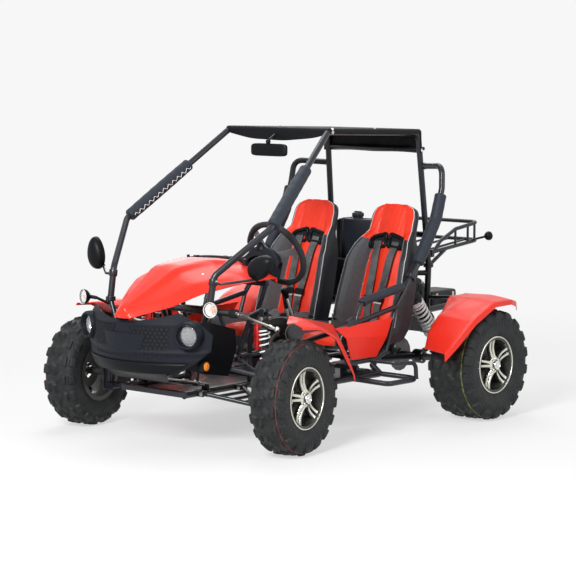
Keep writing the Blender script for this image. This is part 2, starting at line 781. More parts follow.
# Rear axle and swing arm

AXLE_SIDES = 12
REAR_HUB_BACK = REAR_TRACK / 2 + REAR_RIM_WIDTH / 2 - HUB_DEPTH
CARRIER_LENGTH = 0.056


def sprocket_outline():
    points = []
    for i in range(SPROCKET_TEETH * 2):
        radius = SPROCKET_RADIUS if i % 2 else SPROCKET_RADIUS - 0.009
        angle = math.tau * i / (SPROCKET_TEETH * 2)
        points.append((radius * math.cos(angle), radius * math.sin(angle)))
    return points


def rear_axle():
    """A solid shaft with a hub flange at each end, the chain sprocket and the brake disc."""
    centre = Vector((0, REAR_AXLE_Y, REAR_AXLE_Z))
    out = Vector((1, 0, 0))
    end = REAR_HUB_BACK - SEAT_GAP
    pieces = [rod(centre - end * out, centre + end * out, AXLE_RADIUS, AXLE_SIDES)]
    for side in (1, -1):
        pieces.append(rod(centre + side * (end - 0.050) * out, centre + side * end * out, 0.030, 8))
        pieces.append(rod(centre + side * (end - 0.008) * out, centre + side * end * out, 0.052, 10))
    lightening = [
        [(0.052 * math.cos(a) + x, 0.052 * math.sin(a) + y) for x, y in ring(0.013, 5)]
        for a in (math.tau * i / 4 for i in range(4))
    ]
    gear_at = Matrix.Translation(centre + SPROCKET_X * out) @ X_AXIS
    gear = plate([sprocket_outline()] + lightening, 0.006, gear_at)
    disc = plate([ring(0.088, 16)], 0.004, Matrix.Translation(centre + DISC_X * out) @ X_AXIS)
    for x in (SPROCKET_X, DISC_X):
        pieces.append(rod(centre + (x - 0.012) * out, centre + (x + 0.012) * out, 0.030, 6))
    return fused(pieces + [gear, disc])


def swing_arm():
    """Two legs from the pivot sleeves to the bearing carriers, with the brake caliper."""
    axle = Vector((0, REAR_AXLE_Y, REAR_AXLE_Z))
    pieces = []
    for side in (1, -1):
        sleeve = Vector((side * SWING_PIVOT_X, SWING_PIVOT_Y, SWING_PIVOT_Z))
        carrier = axle + Vector((side * CARRIER_X, 0, 0))
        pieces.append(rod(*through(sleeve, (1, 0, 0), 0.060), 0.020, 8))
        pieces.append(rod(*through(carrier, (1, 0, 0), CARRIER_LENGTH), CARRIER_RADIUS, AXLE_SIDES))
        pieces.append(rod(sleeve, carrier, 0.0170, 6))
        foot = Vector((side * REAR_SHOCK_X, *REAR_SHOCK_FOOT))
        pieces.append(rod(carrier, foot + Vector((0, -0.008, -0.036)), 0.013, 6))
        pieces += lugs(foot, (1, 0, 0), (LUG_PLATE, 0.032, 0.052), (0, 0, -0.012))
        pieces.append(
            box((2 * SHOCK_LUG_SPREAD + LUG_PLATE, 0.030, 0.008), foot + Vector((0, 0, -0.036)))
        )
    left = Vector((0.262, 0.40, 0.286))
    pieces.append(rod((-left.x, left.y, left.z), left, 0.0135, 8))
    caliper = axle + Vector((DISC_X, -0.076, 0.030))
    jaws = cut(
        box((0.046, 0.050, 0.060), caliper),
        [box((0.004 + 2 * RUNNING_GAP, 0.060, 0.090), caliper + Vector((0, 0.015, 0)))],
    )
    pieces.append(jaws)
    pieces.append(rod(caliper + Vector((0.018, -0.012, -0.02)), (0.285, 0.50, 0.283), 0.009, 8))
    bore = rod(*through(axle, (1, 0, 0), 1.0), AXLE_RADIUS + RUNNING_GAP, AXLE_SIDES)
    return cut(fused(pieces), [bore])


swing_axis = pivot("swing_arm_axis", (0, SWING_PIVOT_Y, SWING_PIVOT_Z))
axle_axis = pivot("rear_axle_axis", (0, REAR_AXLE_Y, REAR_AXLE_Z), swing_axis)
part(swing_arm(), "rear_swing_arm", BLACK_PAINT, swing_axis)
part(rear_axle(), "rear_axle", STEEL, axle_axis)
for side, hand in SIDES:
    hub = (side * REAR_TRACK / 2, REAR_AXLE_Y, REAR_AXLE_Z)
    rear_tyre = tyre(hub, side, REAR_TYRE_RADIUS, REAR_TYRE_WIDTH, REAR_RIM_WIDTH)
    part(rear_tyre, "rear_tyre_" + hand, RUBBER, axle_axis)
    part(rim(hub, side, REAR_RIM_WIDTH, 0.0, 0.0), "rear_rim_" + hand, ALLOY, axle_axis)


# Lower frame: rails, floor pan, suspension mounts, seat base, side steps and rear subframe

RAIL_Z = LOWER_ARM_OUTER_Z + ARM_FALL
UPPER_RAIL_Z = UPPER_ARM_OUTER_Z + ARM_FALL
FRONT_RAIL_X = 0.200
KICK_X = 0.310
PANEL = 0.004
FENDER_INNER_X = 0.5138
SHELF_Z = TANK_BOTTOM_Z - SEAT_GAP - FRAME_TUBE
PAN_Z = RAIL_Z - 0.010
PEDAL_Y = -0.840
PEDAL_Z = 0.290
PEDALS = (("throttle_pedal", 0.070), ("brake_pedal", 0.145))
PEDAL_SHAFT_RADIUS = 0.0080
SEAT_RAIL_Z = 0.330
REAR_FENDER_SEAT_Z = 0.6022
FRONT_CROSS_Y = -0.965
CROSS_HALF = 0.0125
ENGINE_REAR_Y = 1.000
RACK_HOUSING_X = 0.232
COWL_Y = -0.515
COWL_Z = 0.745
COWL_TUBE = 0.0125
HOOD_SEAT_Z = COWL_Z + COWL_TUBE
DASH_BRACKET_X = 0.260
DASH_BRACKET_Z = 0.7695
SEAT_RAILS_X = (0.165, 0.360)


def arm_mounts(side):
    """Lug plates on the rails, either side of the arms' inner bushes."""
    pieces = []
    for z, spread in ((RAIL_Z, LOWER_ARM_SPREAD), (UPPER_RAIL_Z, UPPER_ARM_SPREAD)):
        for leg in (1, -1):
            centre = Vector((side * ARM_INNER_X, FRONT_AXLE_Y + leg * spread, z))
            reach = PIVOT_LENGTH / 2 + SEAT_GAP + LUG_PLATE / 2
            for end in (1, -1):
                plate_at = centre + Vector((side * -0.014, end * reach, 0))
                pieces.append(box((0.046, LUG_PLATE, 0.026), plate_at))
    return pieces


def lower_frame():
    pieces = []
    rail = [
        (FRONT_RAIL_X, -0.985, RAIL_Z),
        (FRONT_RAIL_X, -0.540, RAIL_Z),
        (0.455, -0.300, RAIL_Z),
        (0.470, 0.130, RAIL_Z),
        (KICK_X, 0.270, RAIL_Z + 0.01),
        (KICK_X, 0.430, 0.400),
        (KICK_X, 0.580, 0.500),
        (KICK_X, 1.080, 0.520),
    ]
    upper = [
        (PILLAR_FOOT.x - 0.006, PILLAR_FOOT.y - 0.003, PILLAR_FOOT.z - 0.012),
        (FRONT_RAIL_X, -0.965, UPPER_RAIL_Z),
        (FRONT_RAIL_X, -0.520, UPPER_RAIL_Z),
        (0.440, -0.400, 0.470),
        (SIDE_X, -0.250, 0.508),
        (SIDE_X, 0.217, 0.583),
        tuple(BRACE_FOOT - 0.006 * BRACE_RUN),
    ]
    loop = [
        (SIDE_X, -0.262, 0.505),
        (SIDE_X, -0.155, 0.340),
        (SIDE_X, 0.060, 0.340),
        (SIDE_X, 0.139, 0.372),
        (SIDE_X, 0.217, 0.583),
    ]
    cowl = [(FRONT_RAIL_X, -0.530, RAIL_Z), (FRONT_RAIL_X, -0.530, 0.480), (0.290, COWL_Y, COWL_Z)]
    step = [
        (0.465, -0.085, RAIL_Z),
        (0.640, -0.020, 0.240),
        (0.650, 0.215, 0.240),
        (0.470, 0.130, RAIL_Z),
    ]
    riser = [
        (SIDE_X, 0.010, 0.340),
        (0.640, 0.050, 0.334),
        (0.645, 0.190, 0.320),
        (0.648, 0.190, 0.244),
    ]
    arm_rest = [(SIDE_X, -0.085, 0.568), (SIDE_X, -0.055, 0.632), (SIDE_X, 0.270, 0.678)]
    tower = [(FRONT_RAIL_X, -0.620, UPPER_RAIL_Z), (0.290, -0.620, 0.600), (0.405, FRONT_SHOCK_Y, 0.642)]
    rear_tower = [
        (KICK_X, 0.500, 0.455),
        (KICK_X, 0.455, 0.600),
        (KICK_X, 0.462, 0.672),
        (0.417, 0.462, 0.672),
    ]
    shelf = [(HOOP_FOOT.x, HOOP_FOOT.y, SHELF_Z), (0.230, TANK_Y, SHELF_Z)]
    post = [(KICK_X, 0.722, 0.505), (HOOP_FOOT.x, HOOP_FOOT.y, HOOP_FOOT.z - 0.010)]
    for points, radius, bend, steps in (
        (rail, FRAME_TUBE, 0.0, 0),
        (upper, FRAME_TUBE - 0.003, 0.0, 0),
        (loop, 0.0110, 0.0, 0),
        (step, 0.0130, 0.0, 0),
        (riser, 0.0105, 0.0, 0),
        (cowl, COWL_TUBE, 0.0, 0),
        (shelf, 0.0140, 0.0, 0),
        (tower, 0.0125, 0.0, 0),
        (rear_tower, 0.0125, 0.0, 0),
        (post, FRAME_TUBE, 0.0, 0),
        (arm_rest, PAD_RADIUS * 0.75, 0.05, 1),
    ):
        pieces += both(points, radius, bend, steps)
    for y, z, x, radius in (
        (FRONT_CROSS_Y - 0.010, RAIL_Z, FRONT_RAIL_X, CROSS_HALF),
        (FRONT_CROSS_Y, UPPER_RAIL_Z, FRONT_RAIL_X, CROSS_HALF),
        (-0.300, RAIL_Z, 0.455, 0.013),
        (-0.080, SEAT_RAIL_Z - 0.018, SIDE_X, 0.010),
        (0.165, SEAT_RAIL_Z - 0.018, 0.460, 0.010),
        (COWL_Y, COWL_Z, 0.300, COWL_TUBE),
        (TANK_Y, SHELF_Z, 0.240, FRAME_TUBE),
        (0.480, 0.4420, KICK_X, 0.012),
        (ENGINE_REAR_Y, 0.5145, KICK_X, 0.012),
    ):
        pieces.append(box((2 * x, 2 * radius, 2 * radius), (0, y, z)))
    shaft = [(x, PEDAL_Y, PEDAL_Z) for x in (-FRONT_RAIL_X, FRONT_RAIL_X)]
    pieces.append(rod(*shaft, PEDAL_SHAFT_RADIUS, 8))
    for x, y, z in shaft:
        pieces.append(box((0.044, 0.010, 0.040), (x, y, z - 0.014)))
    pan = [(0.200, -0.975), (0.200, -0.540), (0.452, -0.300), (0.467, 0.130), (0.312, 0.262)]
    pan_line = pan + [(-x, y) for x, y in reversed(pan)]
    pieces.append(plate([pan_line], 0.004, Matrix.Translation((0, 0, PAN_Z))))
    for side in (1, -1):
        bracket_at = (side * DASH_BRACKET_X, -0.479, DASH_BRACKET_Z - 0.003)
        pieces.append(box((0.030, 0.072, 0.006), bracket_at))
        pieces.append(box((0.030, 0.012, 0.022), (side * DASH_BRACKET_X, -0.511, DASH_BRACKET_Z - 0.013)))
        stay_end = FENDER_INNER_X - PANEL + 0.0008
        pieces.append(rod((side * SIDE_X, -0.212, 0.428), (side * stay_end, -0.212, 0.428), 0.012, 6))
        pieces.append(rod((side * 0.314, 0.722, 0.575), (side * 0.560, 0.715, 0.592), 0.009, 6))
        slope = Matrix.Rotation(math.radians(-2.8 * side), 4, "Y")
        pieces.append(box((0.030, 0.050, 0.008), (side * 0.562, 0.715, REAR_FENDER_SEAT_Z - 0.004), slope))
        pieces.append(rod((side * SIDE_X, -0.098, 0.532), (side * SIDE_X, -0.078, 0.585), 0.010, 6))
        pieces += arm_mounts(side)
        top = Vector((side * FRONT_SHOCK_TOP[0], FRONT_SHOCK_Y, FRONT_SHOCK_TOP[1]))
        pieces += lugs(top, (0, 1, 0), (0.024, LUG_PLATE, 0.058), (0, 0, 0.017))
        pieces.append(rod(top + Vector((0, -0.018, 0.038)), top + Vector((0, 0.018, 0.038)), 0.010, 6))
        high = Vector((side * REAR_SHOCK_X, *REAR_SHOCK_TOP))
        pieces += lugs(high, (1, 0, 0), (LUG_PLATE, 0.028, 0.056), (0, 0, 0.016))
        pivot_x = side * SWING_PIVOT_X
        for end in (1, -1):
            lug_x = pivot_x + end * (0.030 + SEAT_GAP + 0.004)
            pieces.append(box((0.008, 0.050, 0.110), (lug_x, SWING_PIVOT_Y, SWING_PIVOT_Z + 0.010)))
        for x in SEAT_RAILS_X:
            pieces.append(box((0.024, 0.330, 0.014), (side * x, 0.065, SEAT_RAIL_Z - 0.007)))
        foot = Vector((side * PILLAR_FOOT.x, PILLAR_FOOT.y, PILLAR_FOOT.z - SEAT_GAP - 0.005))
        pieces.append(rod(foot - Vector((0, 0, 0.005)), foot + Vector((0, 0, 0.005)), 0.024, 6))
        hoop = Vector((side * HOOP_FOOT.x, HOOP_FOOT.y, HOOP_FOOT.z - SEAT_GAP - 0.005))
        pieces.append(rod(hoop - Vector((0, 0, 0.005)), hoop + Vector((0, 0, 0.005)), 0.026, 6))
        brace = Vector((side * BRACE_FOOT.x, *BRACE_FOOT.yz))
        pieces.append(rod(brace - (0.010 + SEAT_GAP) * BRACE_RUN, brace - SEAT_GAP * BRACE_RUN, 0.025, 6))
        pieces.append(rod((side * 0.190, -0.640, 0.400), (side * 0.165, RACK_Y, RACK_Z - 0.010), 0.010, 6))
    rack_at = Vector((0, RACK_Y, RACK_Z))
    half = Vector((RACK_HOUSING_X, 0, 0))
    pieces.append(rod(rack_at - half, rack_at + half, 0.0165, 8))
    whole = fused(pieces)
    return cut(whole, [rod(rack_at - 1.2 * half, rack_at + 1.2 * half, RACK_ROD_RADIUS + RUNNING_GAP, 8)])


part(lower_frame(), "lower_frame", BLACK_PAINT)


# Roll cage, with foam pads, mirror clamps and the front indicators' stalks

MIRROR_PIVOT = Vector((0.500, -0.815, 0.885))
CABIN_MIRROR_PIVOT = Vector((0.0, -0.168, 1.395))


def padded(points, side):
    """Foam sleeve round a straight run of tube."""
    start, end = [Vector((side * p.x, p.y, p.z)) for p in points]
    return rod(start, end, PAD_RADIUS, 7)


def roll_cage():
    pieces = []
    inset = Vector((0, 0, 0.004))
    main = [PILLAR_FOOT + inset, PILLAR_KNEE, PILLAR_WAIST, ROOF_FRONT, ROOF_REAR, HOOP_FOOT + inset]
    brace = [
        Vector((0.314, 0.676, 1.253)),
        Vector((0.470, 0.610, 1.215)),
        Vector((SIDE_X, 0.588, 1.150)),
        Vector((SIDE_X, 0.540, 1.000)),
        Vector((SIDE_X, 0.390, 0.780)),
        BRACE_FOOT + 0.003 * BRACE_RUN,
    ]
    pieces += both(main, CAGE_TUBE, 0.055, 1)
    pieces += both(brace, CAGE_TUBE, 0.060, 1)
    for a, b in ((ROOF_FRONT, 0.0), (ROOF_REAR, -0.012)):
        at = Vector((a.x, a.y, a.z + b))
        pieces.append(rod((-at.x, at.y, at.z), at, CAGE_TUBE, 6))
    for y, z, x, radius in ((0.715, 0.900, 0.316, 0.0125), (0.668, 1.290, 0.310, 0.0125)):
        pieces.append(rod((-x, y, z), (x, y, z), radius, 6))
    for side in (1, -1):
        waist = PILLAR_WAIST.lerp(ROOF_FRONT, 0.10)
        pieces.append(padded((waist, PILLAR_WAIST.lerp(ROOF_FRONT, 0.62)), side))
        pieces.append(padded((Vector((SIDE_X, 0.578, 1.118)), Vector((SIDE_X, 0.545, 1.015))), side))
        pieces.append(padded((Vector((SIDE_X, 0.526, 0.979)), Vector((SIDE_X, 0.402, 0.798))), side))
        for foot, radius in ((PILLAR_FOOT, 0.024), (HOOP_FOOT, 0.026)):
            at = Vector((side * foot.x, foot.y, foot.z))
            pieces.append(rod(at, at + Vector((0, 0, 0.010)), radius, 6))
        base = Vector((side * BRACE_FOOT.x, *BRACE_FOOT.yz))
        pieces.append(rod(base, base + 0.010 * BRACE_RUN, 0.025, 6))
        clamp = PILLAR_KNEE.lerp(PILLAR_WAIST, 0.45)
        clamp = Vector((side * clamp.x, clamp.y, clamp.z))
        socket = Vector((side * MIRROR_PIVOT.x, *MIRROR_PIVOT.yz))
        run = (socket - clamp).normalized()
        pieces.append(rod(clamp, socket - 0.0104 * run, 0.007, 6))
    stem = CABIN_MIRROR_PIVOT + Vector((0, 0.006, 0.010))
    pieces.append(rod((0, ROOF_FRONT.y + 0.002, ROOF_FRONT.z - 0.010), stem, 0.007, 6))
    return fused(pieces)


part(roll_cage(), "roll_cage", BLACK_PAINT)


# Mirrors on ball joints


def side_mirror(side):
    """A drop-shaped shell on a short neck, with a flat glass face to the rear."""
    pivot_at = Vector((side * MIRROR_PIVOT.x, *MIRROR_PIVOT.yz))
    shell_at = pivot_at + Vector((side * 0.048, -0.012, -0.018))
    shell = ball(shell_at, 0.050, (1.25, 0.50, 0.78), rings=6, sides=10)
    keep = box((0.30, 0.10, 0.30), pivot_at + Vector((side * 0.048, 0.012 - 0.05 - 0.018, -0.018)))
    keep_far = combined(shell, [keep], "INTERSECT")
    return fused([keep_far, ball(pivot_at, 0.010, rings=6, sides=8)])


def cabin_mirror():
    glass = box((0.230, 0.022, 0.062), CABIN_MIRROR_PIVOT + Vector((0.0, 0.004, -0.040)), round_off=0.006)
    return fused([glass, ball(CABIN_MIRROR_PIVOT, 0.010, rings=6, sides=8)])


for side, hand in SIDES:
    axis = pivot("mirror_axis_" + hand, (side * MIRROR_PIVOT.x, *MIRROR_PIVOT.yz))
    part(side_mirror(side), "side_mirror_" + hand, BLACK_PLASTIC, axis)
part(cabin_mirror(), "cabin_mirror", BLACK_PLASTIC, pivot("cabin_mirror_axis", CABIN_MIRROR_PIVOT))


# Body panels: hood, fenders, side panels and roof canvas

HOOD_LINE = (
    (-1.187, 0.671, 0.050, 0.622),
    (-1.030, 0.768, 0.165, 0.668),
    (-0.900, 0.846, 0.235, 0.722),
    (-0.700, 0.866, 0.312, 0.762),
    (-0.500, 0.845, 0.345, 0.775),
)


def hood():
    """A faceted bonnet with a raised ridge and creases that spread to the rear corners."""
    rows = []
    for y, ridge, half, edge in HOOD_LINE:
        fall = ridge - edge
        share = ((0.0, 0.0), (0.30, 0.06), (0.42, 0.30), (0.80, 0.62), (1.0, 1.0))
        right = [Vector((half * a, y, ridge - fall * b)) for a, b in share]
        rows.append([Vector((-p.x, p.y, p.z)) for p in reversed(right[1:])] + right)
    last = rows[-1]
    rows.append([Vector((p.x, p.y + 0.004, p.z - 0.022)) for p in last])
    shell = sheet(rows, PANEL, 1.0)
    pieces = [shell]
    for side in (1, -1):
        leg_x = side * 0.16
        pieces.append(box((0.036, 0.030, 0.020), (leg_x, COWL_Y, HOOD_SEAT_Z + 0.010 + SEAT_GAP)))
        pieces.append(box((0.016, 0.020, 0.095), (leg_x, COWL_Y, HOOD_SEAT_Z + 0.050)))
    return fused(pieces)


part(hood(), "hood", RED_PLASTIC)

FRONT_FENDER = (
    ((0.552, -0.668, 0.588), (0.735, -0.770, 0.597)),
    ((0.495, -0.585, 0.615), (0.745, -0.660, 0.590)),
    ((0.500, -0.450, 0.585), (0.745, -0.545, 0.535)),
    ((FENDER_INNER_X, -0.288, 0.545), (0.738, -0.440, 0.400)),
    ((FENDER_INNER_X, -0.197, 0.405), (0.730, -0.390, 0.318)),
    ((FENDER_INNER_X, -0.118, 0.272), (0.715, -0.365, 0.262)),
)
REAR_FENDER = (
    ((0.530, 0.427, 0.371), (0.590, 0.312, 0.372), (0.835, 0.150, 0.385)),
    ((0.530, 0.480, 0.450), (0.590, 0.338, 0.452), (0.838, 0.260, 0.450)),
    ((0.530, 0.541, 0.532), (0.600, 0.420, 0.532), (0.838, 0.410, 0.540)),
    ((0.530, 0.600, 0.604), (0.690, 0.560, 0.612), (0.838, 0.575, 0.600)),
    ((0.530, 0.758, 0.606), (0.690, 0.735, 0.614), (0.825, 0.735, 0.594)),
    ((0.530, 0.940, 0.585), (0.660, 0.880, 0.590), (0.760, 0.850, 0.580)),
    ((0.530, 1.040, 0.548), (0.600, 1.000, 0.552), (0.660, 0.960, 0.552)),
)


def fender(rows, side):
    """A moulded mudguard lofted from its inner edge to its outer edge."""
    full = []
    for row in rows:
        points = [Vector((side * x, y, z)) for x, y, z in row]
        if len(points) == 2:
            points.insert(1, points[0].lerp(points[1], 0.45) + Vector((0, 0, 0.012)))
        full.append(points)
    if side < 0:
        full = [list(reversed(row)) for row in full]
    return sheet(full, PANEL, -1.0)


for side, hand in SIDES:
    part(fender(FRONT_FENDER, side), "front_fender_" + hand, RED_PLASTIC)
    part(fender(REAR_FENDER, side), "rear_fender_" + hand, RED_PLASTIC)


def side_panel(side):
    corners = [(-0.271, 0.524), (0.175, 0.536), (0.049, 0.354), (-0.148, 0.359)]
    crease = [(-0.200, 0.470), (0.115, 0.450)]
    x_in = SIDE_X + 0.0113 + SEAT_GAP
    low = [Vector((side * x_in, y, z)) for y, z in (corners[3], corners[2])]
    middle = [Vector((side * (x_in + 0.014), y, z)) for y, z in crease]
    high = [Vector((side * x_in, y, z)) for y, z in (corners[0], corners[1])]
    rows = [low, middle, high] if side > 0 else [list(reversed(r)) for r in (low, middle, high)]
    return sheet(rows, PANEL, 1.0)


for side, hand in SIDES:
    part(side_panel(side), "side_panel_" + hand, RED_PLASTIC)


def roof_canopy():
    """Canvas over the roof tubes: it sags between them and hangs in folds at the back."""
    rows = []
    lines = [(ROOF_FRONT.y - 0.026, -0.016), (ROOF_FRONT.y - 0.016, 0.012)]
    lines += [(ROOF_FRONT.y + t * (ROOF_REAR.y - ROOF_FRONT.y), None) for t in (0.04, 0.25, 0.5, 0.75, 0.97)]
    across = [i / 4 - 1 for i in range(9)]
    top = CAGE_TUBE + 0.0010
    for y, drop in lines:
        t = (y - ROOF_FRONT.y) / (ROOF_REAR.y - ROOF_FRONT.y)
        base = ROOF_FRONT.z + t * (ROOF_REAR.z - ROOF_FRONT.z)
        half = ROOF_FRONT.x + t * (ROOF_REAR.x - ROOF_FRONT.x) + (0.012 if t > 0 else -0.034)
        sag = 0.018 * max(0.0, math.sin(math.pi * min(max(t, 0.0), 1.0))) if drop is None else 0.0
        height = base + (top if drop is None else drop + 0.0045)
        row = []
        for u in across:
            row.append(Vector((half * u, y, height - sag * (1 - u * u))))
        rows.append(row)
    for drop, back in ((0.010, 0.024), (0.055, 0.040), (0.095, 0.046)):
        row = []
        for i, u in enumerate(across):
            fold = 0.006 * (1 if i % 2 else -1) * (drop / 0.095)
            row.append(
                Vector((0.312 * u, ROOF_REAR.y + back + fold, ROOF_REAR.z + top - drop))
            )
        rows.append(row)
    return sheet(rows, 0.003, 1.0)


part(roof_canopy(), "roof_canopy", CANVAS)


# Front fascia with its honeycomb grilles, and the headlights behind it

LAMP_AT = Vector((0.316, -1.071, 0.554))
LAMP_RADIUS = 0.048
LAMP_BAR_Y = -0.9724
FASCIA_BOW = 1.16
FASCIA_NOSE_Y = -1.185
HEX_RADIUS = 0.0185
HEX_PITCH = 0.044


def fascia_y(x, z):
    """The bowed face: it curves back towards the sides and leans back at the top and bottom."""
    lean = 0.22 * max(0.0, z - 0.600) + 0.35 * max(0.0, 0.430 - z)
    return FASCIA_NOSE_Y + FASCIA_BOW * x * x + lean


def honeycomb(centre_x, low, high, half_width):
    """Hexagonal openings in staggered rows over one zone of the grille."""
    cutters = []
    row = 0
    z = low
    while z <= high:
        count = int(half_width / HEX_PITCH)
        for i in range(-count, count + 1):
            x = centre_x + (i + 0.5 * (row % 2)) * HEX_PITCH
            if abs(x - centre_x) <= half_width:
                cutters.append(rod((x, FASCIA_NOSE_Y - 0.05, z), (x, FASCIA_NOSE_Y + 0.25, z), HEX_RADIUS, 6))
        row += 1
        z += HEX_PITCH * 0.88
    return cutters


def front_fascia():
    edges = (
        (0.366, 0.250),
        (0.420, 0.330),
        (0.480, 0.392),
        (0.555, 0.398),
        (0.600, 0.360),
        (0.655, 0.270),
    )
    rows = []
    for z, half in edges:
        row = []
        for i in range(9):
            u = i / 4 - 1
            dip = 0.045 * (1 - u * u) if z > 0.63 else 0.0
            row.append(Vector((half * u, fascia_y(half * u, z), z - dip)))
        rows.append(row)
    shell = sheet(rows, PANEL, 1.0)
    pieces = [shell]
    for side in (1, -1):
        cheek = [
            [(0.310, -1.0720, 0.596), (0.352, -0.985, 0.610), (0.352, -0.800, 0.560)],
            [(0.310, -1.0750, 0.470), (0.352, -0.990, 0.470), (0.352, -0.790, 0.470)],
            [(0.280, -1.0860, 0.402), (0.330, -0.990, 0.370), (0.345, -0.840, 0.345)],
        ]
        rows = [[Vector((side * x, y, z)) for x, y, z in row] for row in cheek]
        if side > 0:
            rows = [list(reversed(row)) for row in rows]
        pieces.append(sheet(rows, PANEL, -1.0))
        stay_y = FRONT_CROSS_Y - CROSS_HALF - SEAT_GAP
        stay = [(side * 0.100, y, UPPER_RAIL_Z) for y in (stay_y, -1.164)]
        pieces.append(rod(*stay, 0.012, 6))
        pieces.append(rod((side * 0.328, -1.000, 0.408), (side * 0.350, -1.000, 0.408), 0.025, 8))
    cutters = []
    for side in (1, -1):
        at = Vector((side * LAMP_AT.x, LAMP_AT.y, LAMP_AT.z))
        look = Vector((side * 0.30, -1, 0)).normalized()
        cutters.append(rod(at - 0.10 * look, at + 0.10 * look, LAMP_RADIUS + 0.006, 12))
    cutters += honeycomb(0.160, 0.490, 0.535, 0.050) + honeycomb(-0.160, 0.490, 0.535, 0.050)
    return cut(fused(pieces), cutters)


part(front_fascia(), "front_fascia", BLACK_PLASTIC)


def headlights():
    """Two round lamps in their bowls on a shared cross bar."""
    pieces = []
    for side in (1, -1):
        at = Vector((side * LAMP_AT.x, LAMP_AT.y, LAMP_AT.z))
        look = Vector((side * 0.30, -1, 0)).normalized()
        bowl = [
            (0.0, 0.020),
            (0.026, 0.016),
            (LAMP_RADIUS - 0.004, 0.004),
            (LAMP_RADIUS, 0.0),
            (LAMP_RADIUS, -0.012),
            (0.030, -0.048),
            (0.0, -0.056),
        ]
        pieces.append(turned(bowl, at, look, 10))
        pieces.append(rod(at - 0.040 * look, (side * 0.255, LAMP_BAR_Y, 0.550), 0.010, 6))
    pieces.append(rod((-0.295, LAMP_BAR_Y, 0.550), (0.295, LAMP_BAR_Y, 0.550), 0.010, 6))
    return fused(pieces)


part(headlights(), "headlights", LENS)


# Dash pod and steering wheel


def dash_pod():
    """The moulded cowl behind the bonnet, with the boss that carries the steering column."""
    rows = []
    for y, top, drop, half in (
        (-0.486, 0.838, 0.030, 0.330),
        (-0.476, 0.868, 0.040, 0.335),
        (-0.455, 0.870, 0.040, 0.335),
        (-0.449, 0.850, 0.040, 0.330),
        (-0.452, 0.790, 0.020, 0.320),
    ):
        row = []
        for i in range(9):
            u = i / 4 - 1
            row.append(Vector((half * u, y, top - drop * abs(u) ** 3)))
        rows.append(row)
    shell = sheet(rows, 0.0045, -1.0)
    pieces = [shell]
    boss_at = WHEEL_CENTRE - 0.068 * COLUMN
    pieces.append(rod(boss_at - 0.014 * COLUMN, boss_at + 0.012 * COLUMN, 0.024, 8))
    for side in (1, -1):
        foot_z = DASH_BRACKET_Z + SEAT_GAP + 0.004
        pieces.append(box((0.030, 0.026, 0.008), (side * DASH_BRACKET_X, -0.463, foot_z)))
        pieces.append(box((0.010, 0.012, 0.070), (side * DASH_BRACKET_X, -0.467, DASH_BRACKET_Z + 0.040)))
    bore_ends = (boss_at - 0.030 * COLUMN, boss_at + 0.05 * COLUMN)
    return cut(fused(pieces), [rod(*bore_ends, COLUMN_RADIUS + RUNNING_GAP, 10)])


part(dash_pod(), "dash_pod", BLACK_PLASTIC)


def steering_wheel():
    """A padded rim on three dished spokes, with its hub and the column."""
    frame = Matrix.Translation(WHEEL_CENTRE) @ along(COLUMN)
    grip = WHEEL_RADIUS - 0.014
    profile = [(grip + x, y) for x, y in reversed(ring(0.0135, 6))]
    loop = turned(profile, WHEEL_CENTRE, COLUMN, 18, closed=True)
    pieces = [loop]
    hub = WHEEL_CENTRE - 0.030 * COLUMN
    pieces.append(rod(hub - 0.010 * COLUMN, hub + 0.014 * COLUMN, 0.032, 10))
    for i in range(3):
        angle = WHEEL_TURN_AT_REST + math.tau * i / 3 - math.pi / 2
        tip = frame @ Vector((grip * math.cos(angle), grip * math.sin(angle), 0.0))
        spoke = (tip - hub).normalized()
        across = COLUMN.cross(spoke).normalized()
        turn = Matrix((spoke, across, spoke.cross(across))).transposed().to_4x4()
        pieces.append(box(((tip - hub).length, 0.026, 0.004), (tip + hub) / 2, turn))
    pieces.append(rod(hub, WHEEL_CENTRE - 0.080 * COLUMN, COLUMN_RADIUS, 10))
    return fused(pieces)


part(steering_wheel(), "steering_wheel", BLACK_PLASTIC, pivot("steering_axis", WHEEL_CENTRE))


# Pedals on the cross shaft


def pedal(x):
    """A sleeve on the shaft, a cranked arm and a tread plate."""
    at = Vector((x, PEDAL_Y, PEDAL_Z))
    pieces = [rod(*through(at, (1, 0, 0), 0.030), 0.0140, 8)]
    pieces.append(tube([at, at + Vector((0, 0.012, 0.060)), at + Vector((0, 0.004, 0.132))], 0.006, 0.03))
    lean = Matrix.Rotation(math.radians(-18), 4, "X")
    pieces.append(box((0.052, 0.008, 0.066), at + Vector((0, 0.004, 0.140)), lean))
    return bored(fused(pieces), [through(at, (1, 0, 0), 0.06)], PEDAL_SHAFT_RADIUS + RUNNING_GAP)


for name, x in PEDALS:
    part(pedal(x), name, STEEL, pivot(name + "_axis", (x, PEDAL_Y, PEDAL_Z)))


# Seats that slide on their rails, and the harnesses that lie on them

SEAT_LINE = (
    (-0.128, 0.405, 0.175),
    (-0.120, 0.440, 0.205),
    (-0.040, 0.446, 0.222),
    (0.080, 0.425, 0.222),
    (0.200, 0.405, 0.222),
    (0.290, 0.412, 0.221),
    (0.340, 0.470, 0.221),
    (0.372, 0.560, 0.222),
    (0.410, 0.680, 0.221),
    (0.444, 0.790, 0.208),
    (0.470, 0.868, 0.160),
    (0.488, 0.925, 0.128),
    (0.520, 1.025, 0.118),
    (0.531, 1.052, 0.085),
)


def seat_normal(i):
    """The way the seat faces at a point of its centre line."""
    before = SEAT_LINE[max(i - 1, 0)]
    after = SEAT_LINE[min(i + 1, len(SEAT_LINE) - 1)]
    run = Vector((0, after[0] - before[0], after[1] - before[1])).normalized()
    return Vector((0, -run.z, run.y))


